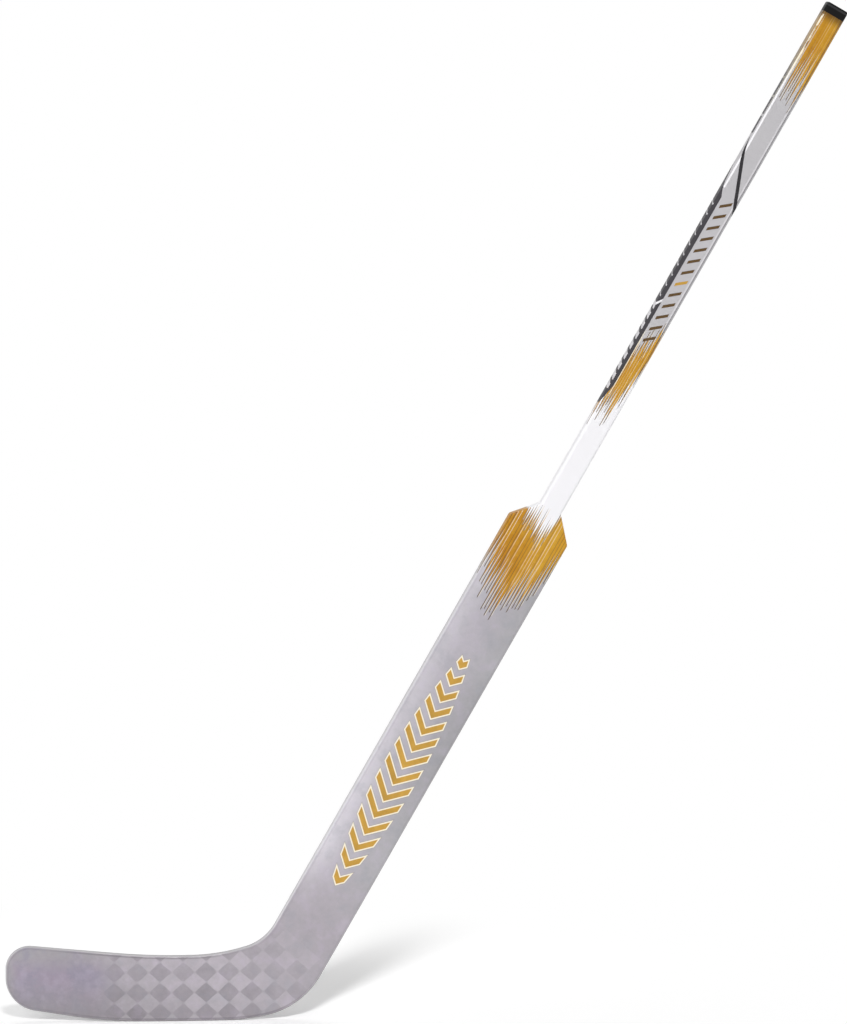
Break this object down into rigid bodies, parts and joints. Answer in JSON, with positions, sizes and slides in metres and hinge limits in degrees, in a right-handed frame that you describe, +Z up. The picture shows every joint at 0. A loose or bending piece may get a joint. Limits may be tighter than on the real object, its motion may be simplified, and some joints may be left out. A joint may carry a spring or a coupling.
{
  "type": "hockey goalie stick",
  "caption": "Ice hockey goalie stick: hollow rectangular shaft in a wide foam-cored paddle with a curved, lofted blade, edge rails all round and a pull-out butt-end cap.",
  "frame": {"origin": "middle of the flat of the blade's sole, where the stick meets the ice", "axes": "+X from toe to heel, +Y through the thickness towards the concave forehand face, +Z up; the shaft leans 30 degrees from +Z towards +X"},
  "size_m": [1.0583, 0.0423, 1.2735],
  "materials": {
    "shaft_lacquer": "satin",
    "face_lacquer": "satin",
    "edge_lacquer": "satin",
    "bare_carbon": "matte",
    "foam": "matte",
    "heel_foam": "matte",
    "cap_rubber": "satin"
  },
  "bodies": {
    "stick": {"shaft_tube": "shaft_lacquer", "paddle_front_skin": "face_lacquer", "paddle_back_skin": "face_lacquer", "blade_front_skin": "face_lacquer", "blade_back_skin": "face_lacquer", "shoulder_rail_toe_side": "edge_lacquer", "shoulder_rail_heel_side": "edge_lacquer", "paddle_rail_toe_side": "edge_lacquer", "paddle_rail_heel_side": "edge_lacquer", "throat_rail": "edge_lacquer", "heel_rail": "edge_lacquer", "blade_top_rail": "edge_lacquer", "sole_rail": "edge_lacquer", "toe_rail": "edge_lacquer", "paddle_spar": "bare_carbon", "blade_rib": "bare_carbon", "paddle_core_toe_side": "foam", "paddle_core_heel_side": "foam", "blade_core_lower": "foam", "blade_core_upper": "foam", "heel_block": "heel_foam"},
    "butt_cap": {"end_cap": "cap_rubber"}
  },
  "joints": [
    {"name": "end_cap_pull", "type": "slide", "parent": "stick", "child": "butt_cap", "axis": [0.5, 0, 0.866], "range_m": [0, 0.06]}
  ]
}
